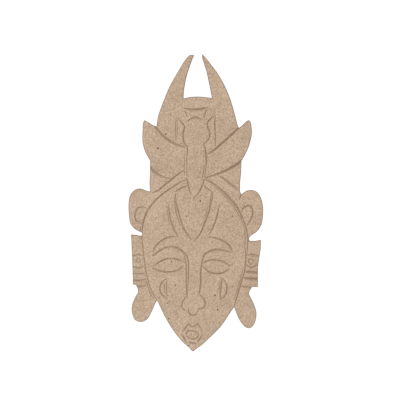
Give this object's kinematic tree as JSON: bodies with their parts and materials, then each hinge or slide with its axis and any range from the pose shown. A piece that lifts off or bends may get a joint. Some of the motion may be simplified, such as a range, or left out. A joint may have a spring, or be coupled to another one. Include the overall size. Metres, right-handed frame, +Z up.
{
  "type": "wall mask",
  "caption": "Flat fibreboard wall mask with routed lines: long face, ears with plugs and pendants, bird crest, two tall curved horns, and a wire-ring hanger on the back.",
  "frame": {"origin": "the middle of the wall nail inside the hanger ring, at the surface of the wall", "axes": "+Z up to the horn tips, +Y into the wall, -Y the way the face looks, +X to the right as the mask is seen from the front"},
  "size_m": [0.1347, 0.0095, 0.2975],
  "materials": {
    "fibreboard": "raw medium-density fibreboard, matt",
    "strap_steel": "zinc-plated strip, satin",
    "ring_wire": "zinc-plated wire, satin",
    "screw_steel": "zinc-plated, satin",
    "felt": "dense brown felt"
  },
  "bodies": {
    "mask": {"mask_board": "fibreboard", "hanger_strap": "strap_steel", "upper_screw": "screw_steel", "lower_screw": "screw_steel", "left_pad": "felt", "right_pad": "felt"},
    "ring": {"hanger_ring": "ring_wire"}
  },
  "joints": [
    {"name": "ring_hinge", "type": "hinge", "parent": "mask", "child": "ring", "pos_m": [0, -0.0019, -0.00625], "axis": [-1, 0, 0], "range_deg": [-5, 172]}
  ]
}
